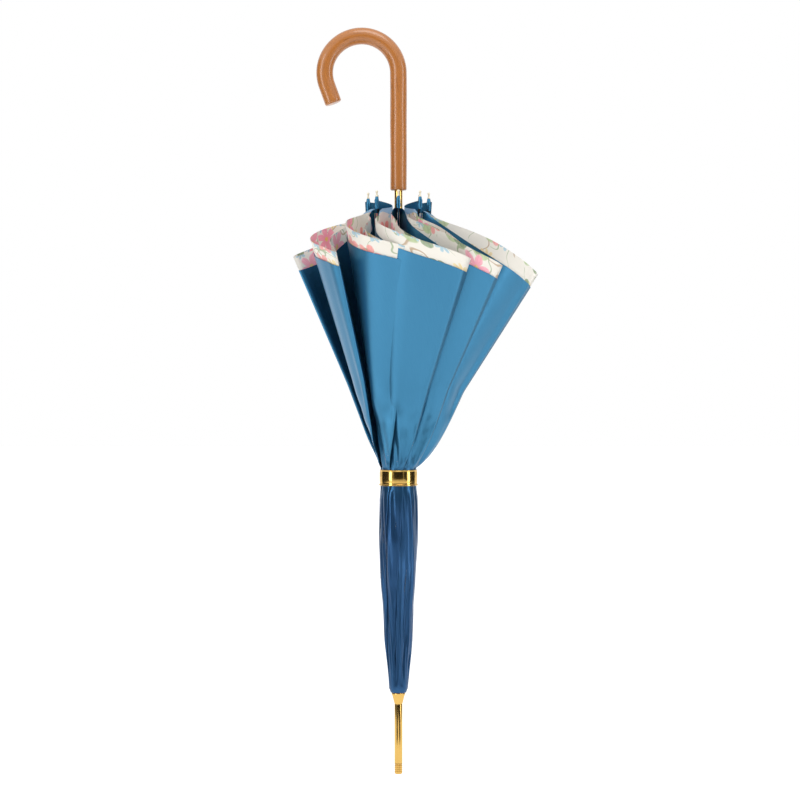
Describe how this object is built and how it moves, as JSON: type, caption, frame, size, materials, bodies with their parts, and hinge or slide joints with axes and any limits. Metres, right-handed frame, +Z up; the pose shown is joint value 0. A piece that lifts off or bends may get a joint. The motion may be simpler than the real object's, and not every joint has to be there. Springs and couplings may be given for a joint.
{
  "type": "stick umbrella",
  "caption": "Full-length stick umbrella with a wooden crook handle, closed, its double cloth gathered by a metal ring above the ferrule.",
  "frame": {"origin": "the point inside the top of the crook where the umbrella hangs", "axes": "+Z up along the shaft towards the handle, +X from the crook's centre towards the shaft, -Y towards the front rib"},
  "size_m": [0.2879, 0.2499, 0.929],
  "materials": {
    "satin": "blue satin weave",
    "lining": null,
    "wood": "varnished honey-brown",
    "gold": "polished gold plating",
    "brass": "satin brass",
    "steel": "dark blued steel",
    "cream": "cream bead"
  },
  "bodies": {
    "root": {"handle": "wood", "shaft": "gold", "crown": "brass", "crown_wire": "steel", "ferrule_collar": "gold", "ferrule_tube": "gold", "ferrule_tip": "gold", "stop_pin": "brass"},
    "rib_1": {"rib_1": "steel", "rib_tip_1": "cream"},
    "rib_2": {"rib_2": "steel", "rib_tip_2": "cream"},
    "rib_3": {"rib_3": "steel", "rib_tip_3": "cream"},
    "rib_4": {"rib_4": "steel", "rib_tip_4": "cream"},
    "rib_5": {"rib_5": "steel", "rib_tip_5": "cream"},
    "rib_6": {"rib_6": "steel", "rib_tip_6": "cream"},
    "rib_7": {"rib_7": "steel", "rib_tip_7": "cream"},
    "rib_8": {"rib_8": "steel", "rib_tip_8": "cream"},
    "stretcher_1": {"stretcher_1": "steel"},
    "stretcher_2": {"stretcher_2": "steel"},
    "stretcher_3": {"stretcher_3": "steel"},
    "stretcher_4": {"stretcher_4": "steel"},
    "stretcher_5": {"stretcher_5": "steel"},
    "stretcher_6": {"stretcher_6": "steel"},
    "stretcher_7": {"stretcher_7": "steel"},
    "stretcher_8": {"stretcher_8": "steel"},
    "runner": {"runner": "gold", "runner_wire": "steel"},
    "ring": {"ring": "gold"},
    "closed_catch": {"closed_catch": "steel"},
    "open_catch": {"open_catch": "steel"},
    "outer_gore_1": {"outer_gore_1": "satin"},
    "lining_gore_1": {"lining_gore_1": "lining"},
    "outer_gore_2": {"outer_gore_2": "satin"},
    "lining_gore_2": {"lining_gore_2": "lining"},
    "outer_gore_3": {"outer_gore_3": "satin"},
    "lining_gore_3": {"lining_gore_3": "lining"},
    "outer_gore_4": {"outer_gore_4": "satin"},
    "lining_gore_4": {"lining_gore_4": "lining"},
    "outer_gore_5": {"outer_gore_5": "satin"},
    "lining_gore_5": {"lining_gore_5": "lining"},
    "outer_gore_6": {"outer_gore_6": "satin"},
    "lining_gore_6": {"lining_gore_6": "lining"},
    "outer_gore_7": {"outer_gore_7": "satin"},
    "lining_gore_7": {"lining_gore_7": "lining"},
    "outer_gore_8": {"outer_gore_8": "satin"},
    "lining_gore_8": {"lining_gore_8": "lining"}
  },
  "joints": [
    {"name": "rib_1_hinge", "type": "hinge", "parent": "root", "child": "rib_1", "pos_m": [0.0459, -0.007, -0.7962], "axis": [1, 0, 0], "range_deg": [0, 60.4], "deforming": ["outer_gore_1", "lining_gore_1", "outer_gore_2", "lining_gore_2", "outer_gore_3", "lining_gore_3", "outer_gore_4", "lining_gore_4", "outer_gore_5", "lining_gore_5", "outer_gore_6", "lining_gore_6", "outer_gore_7", "lining_gore_7", "outer_gore_8", "lining_gore_8", "closed_catch", "open_catch"]},
    {"name": "rib_2_hinge", "type": "hinge", "parent": "root", "child": "rib_2", "pos_m": [0.05085, -0.00495, -0.7962], "axis": [0.7071, 0.7071, 0], "range_deg": [0, 60.4]},
    {"name": "rib_3_hinge", "type": "hinge", "parent": "root", "child": "rib_3", "pos_m": [0.0529, 0, -0.7962], "axis": [0, 1, 0], "range_deg": [0, 60.4]},
    {"name": "rib_4_hinge", "type": "hinge", "parent": "root", "child": "rib_4", "pos_m": [0.05085, 0.00495, -0.7962], "axis": [-0.7071, 0.7071, 0], "range_deg": [0, 60.4]},
    {"name": "rib_5_hinge", "type": "hinge", "parent": "root", "child": "rib_5", "pos_m": [0.0459, 0.007, -0.7962], "axis": [-1, 0, 0], "range_deg": [0, 60.4]},
    {"name": "rib_6_hinge", "type": "hinge", "parent": "root", "child": "rib_6", "pos_m": [0.04095, 0.00495, -0.7962], "axis": [-0.7071, -0.7071, 0], "range_deg": [0, 60.4]},
    {"name": "rib_7_hinge", "type": "hinge", "parent": "root", "child": "rib_7", "pos_m": [0.0389, 0, -0.7962], "axis": [0, -1, 0], "range_deg": [0, 60.4]},
    {"name": "rib_8_hinge", "type": "hinge", "parent": "root", "child": "rib_8", "pos_m": [0.04095, -0.00495, -0.7962], "axis": [0.7071, -0.7071, 0], "range_deg": [0, 60.4]},
    {"name": "stretcher_1_hinge", "type": "hinge", "parent": "rib_1", "child": "stretcher_1", "pos_m": [0.0459, -0.0146, -0.52431], "axis": [1, 0, 0], "range_deg": [-120.8, 0]},
    {"name": "stretcher_2_hinge", "type": "hinge", "parent": "rib_2", "child": "stretcher_2", "pos_m": [0.05622, -0.01032, -0.52431], "axis": [0.7071, 0.7071, 0], "range_deg": [-120.8, 0]},
    {"name": "stretcher_3_hinge", "type": "hinge", "parent": "rib_3", "child": "stretcher_3", "pos_m": [0.0605, 0, -0.52431], "axis": [0, 1, 0], "range_deg": [-120.8, 0]},
    {"name": "stretcher_4_hinge", "type": "hinge", "parent": "rib_4", "child": "stretcher_4", "pos_m": [0.05622, 0.01032, -0.52431], "axis": [-0.7071, 0.7071, 0], "range_deg": [-120.8, 0]},
    {"name": "stretcher_5_hinge", "type": "hinge", "parent": "rib_5", "child": "stretcher_5", "pos_m": [0.0459, 0.0146, -0.52431], "axis": [-1, 0, 0], "range_deg": [-120.8, 0]},
    {"name": "stretcher_6_hinge", "type": "hinge", "parent": "rib_6", "child": "stretcher_6", "pos_m": [0.03558, 0.01032, -0.52431], "axis": [-0.7071, -0.7071, 0], "range_deg": [-120.8, 0]},
    {"name": "stretcher_7_hinge", "type": "hinge", "parent": "rib_7", "child": "stretcher_7", "pos_m": [0.0313, 0, -0.52431], "axis": [0, -1, 0], "range_deg": [-120.8, 0]},
    {"name": "stretcher_8_hinge", "type": "hinge", "parent": "rib_8", "child": "stretcher_8", "pos_m": [0.03558, -0.01032, -0.52431], "axis": [0.7071, -0.7071, 0], "range_deg": [-120.8, 0]},
    {"name": "runner_hinge", "type": "hinge", "parent": "stretcher_1", "child": "runner", "pos_m": [0.0459, -0.007, -0.25241], "axis": [1, 0, 0], "range_deg": [0, 60.4]},
    {"name": "ring_slide", "type": "slide", "parent": "root", "child": "ring", "axis": [0, 0, -1], "range_m": [0, 0.4301]},
    {"name": "closed_catch_press", "type": "slide", "parent": "root", "child": "closed_catch", "axis": [0, -1, 0], "range_m": [0, 0.0026], "stiffness_N_per_m": 300},
    {"name": "open_catch_press", "type": "slide", "parent": "root", "child": "open_catch", "axis": [0, -1, 0], "range_m": [0, 0.0026], "stiffness_N_per_m": 300},
    {"name": "outer_gore_1_spread", "type": "hinge", "parent": "rib_1", "child": "outer_gore_1", "pos_m": [0.04817, -0.00271, -0.79675], "axis": [-0.5096, 0.1628, -0.8449], "range_deg": [0, 47.42]},
    {"name": "lining_gore_1_spread", "type": "hinge", "parent": "rib_2", "child": "lining_gore_1", "pos_m": [0.04687, -0.00249, -0.79914], "axis": [0.0658, -0.7203, -0.6906], "range_deg": [0, 34.61]},
    {"name": "outer_gore_2_spread", "type": "hinge", "parent": "rib_2", "child": "outer_gore_2", "pos_m": [0.04952, -0.00012, -0.79702], "axis": [-0.5715, -0.2881, -0.7684], "range_deg": [0, 41.38]},
    {"name": "lining_gore_2_spread", "type": "hinge", "parent": "rib_3", "child": "lining_gore_2", "pos_m": [0.04846, -0.00135, -0.79944], "axis": [0.576, -0.6232, -0.529], "range_deg": [0, 30.9]},
    {"name": "outer_gore_3_spread", "type": "hinge", "parent": "rib_3", "child": "outer_gore_3", "pos_m": [0.04858, 0.00242, -0.79669], "axis": [-0.209, -0.5378, -0.8167], "range_deg": [0, 43.17]},
    {"name": "lining_gore_3_spread", "type": "hinge", "parent": "rib_4", "child": "lining_gore_3", "pos_m": [0.04856, 0.0009, -0.79952], "axis": [0.7917, 0.0517, -0.6087], "range_deg": [0, 31.04]},
    {"name": "outer_gore_4_spread", "type": "hinge", "parent": "rib_4", "child": "outer_gore_4", "pos_m": [0.04647, 0.00351, -0.79653], "axis": [0.1935, -0.3831, -0.9032], "range_deg": [0, 55.9]},
    {"name": "lining_gore_4_spread", "type": "hinge", "parent": "rib_5", "child": "lining_gore_4", "pos_m": [0.04691, 0.00246, -0.79865], "axis": [0.2824, 0.5033, -0.8167], "range_deg": [0, 40.8]},
    {"name": "outer_gore_5_spread", "type": "hinge", "parent": "rib_5", "child": "outer_gore_5", "pos_m": [0.04407, 0.00288, -0.79666], "axis": [0.3211, -0.0363, -0.9464], "range_deg": [0, 77.25]},
    {"name": "lining_gore_5_spread", "type": "hinge", "parent": "rib_6", "child": "lining_gore_5", "pos_m": [0.04488, 0.00252, -0.79791], "axis": [-0.1801, 0.3541, -0.9177], "range_deg": [0, 61.02]},
    {"name": "outer_gore_6_spread", "type": "hinge", "parent": "rib_6", "child": "outer_gore_6", "pos_m": [0.04259, 0.0008, -0.79667], "axis": [0.2181, 0.1934, -0.9566], "range_deg": [0, 85.85]},
    {"name": "lining_gore_6_spread", "type": "hinge", "parent": "rib_7", "child": "lining_gore_6", "pos_m": [0.04335, 0.00112, -0.79774], "axis": [-0.3421, 0.0731, -0.9368], "range_deg": [0, 69.14]},
    {"name": "outer_gore_7_spread", "type": "hinge", "parent": "rib_7", "child": "outer_gore_7", "pos_m": [0.04292, -0.00176, -0.79662], "axis": [0.0186, 0.27, -0.9627], "range_deg": [0, 90.73]},
    {"name": "lining_gore_7_spread", "type": "hinge", "parent": "rib_8", "child": "lining_gore_7", "pos_m": [0.04321, -0.00102, -0.79763], "axis": [-0.2523, -0.2003, -0.9467], "range_deg": [0, 73.43]},
    {"name": "outer_gore_8_spread", "type": "hinge", "parent": "rib_8", "child": "outer_gore_8", "pos_m": [0.04521, -0.00332, -0.7967], "axis": [-0.2124, 0.2702, -0.9391], "range_deg": [0, 73.47]},
    {"name": "lining_gore_8_spread", "type": "hinge", "parent": "rib_1", "child": "lining_gore_8", "pos_m": [0.04487, -0.00246, -0.79801], "axis": [-0.1574, -0.3961, -0.9046], "range_deg": [0, 57.67]}
  ],
  "couplings": [
    {"joint": "rib_2_hinge", "follows": "rib_1_hinge", "ratio": 1},
    {"joint": "rib_3_hinge", "follows": "rib_1_hinge", "ratio": 1},
    {"joint": "rib_4_hinge", "follows": "rib_1_hinge", "ratio": 1},
    {"joint": "rib_5_hinge", "follows": "rib_1_hinge", "ratio": 1},
    {"joint": "rib_6_hinge", "follows": "rib_1_hinge", "ratio": 1},
    {"joint": "rib_7_hinge", "follows": "rib_1_hinge", "ratio": 1},
    {"joint": "rib_8_hinge", "follows": "rib_1_hinge", "ratio": 1},
    {"joint": "stretcher_1_hinge", "follows": "rib_1_hinge", "ratio": -2},
    {"joint": "stretcher_2_hinge", "follows": "rib_1_hinge", "ratio": -2},
    {"joint": "stretcher_3_hinge", "follows": "rib_1_hinge", "ratio": -2},
    {"joint": "stretcher_4_hinge", "follows": "rib_1_hinge", "ratio": -2},
    {"joint": "stretcher_5_hinge", "follows": "rib_1_hinge", "ratio": -2},
    {"joint": "stretcher_6_hinge", "follows": "rib_1_hinge", "ratio": -2},
    {"joint": "stretcher_7_hinge", "follows": "rib_1_hinge", "ratio": -2},
    {"joint": "stretcher_8_hinge", "follows": "rib_1_hinge", "ratio": -2},
    {"joint": "runner_hinge", "follows": "rib_1_hinge", "ratio": 1},
    {"joint": "ring_slide", "follows": "rib_1_hinge", "m_per_rad": 0.4079},
    {"joint": "outer_gore_1_spread", "follows": "rib_1_hinge", "ratio": 0.78514},
    {"joint": "lining_gore_1_spread", "follows": "rib_1_hinge", "ratio": 0.57298},
    {"joint": "outer_gore_2_spread", "follows": "rib_1_hinge", "ratio": 0.68501},
    {"joint": "lining_gore_2_spread", "follows": "rib_1_hinge", "ratio": 0.51161},
    {"joint": "outer_gore_3_spread", "follows": "rib_1_hinge", "ratio": 0.71473},
    {"joint": "lining_gore_3_spread", "follows": "rib_1_hinge", "ratio": 0.51384},
    {"joint": "outer_gore_4_spread", "follows": "rib_1_hinge", "ratio": 0.92551},
    {"joint": "lining_gore_4_spread", "follows": "rib_1_hinge", "ratio": 0.67549},
    {"joint": "outer_gore_5_spread", "follows": "rib_1_hinge", "ratio": 1.279},
    {"joint": "lining_gore_5_spread", "follows": "rib_1_hinge", "ratio": 1.0103},
    {"joint": "outer_gore_6_spread", "follows": "rib_1_hinge", "ratio": 1.4213},
    {"joint": "lining_gore_6_spread", "follows": "rib_1_hinge", "ratio": 1.1447},
    {"joint": "outer_gore_7_spread", "follows": "rib_1_hinge", "ratio": 1.5022},
    {"joint": "lining_gore_7_spread", "follows": "rib_1_hinge", "ratio": 1.2157},
    {"joint": "outer_gore_8_spread", "follows": "rib_1_hinge", "ratio": 1.2164},
    {"joint": "lining_gore_8_spread", "follows": "rib_1_hinge", "ratio": 0.95478}
  ]
}
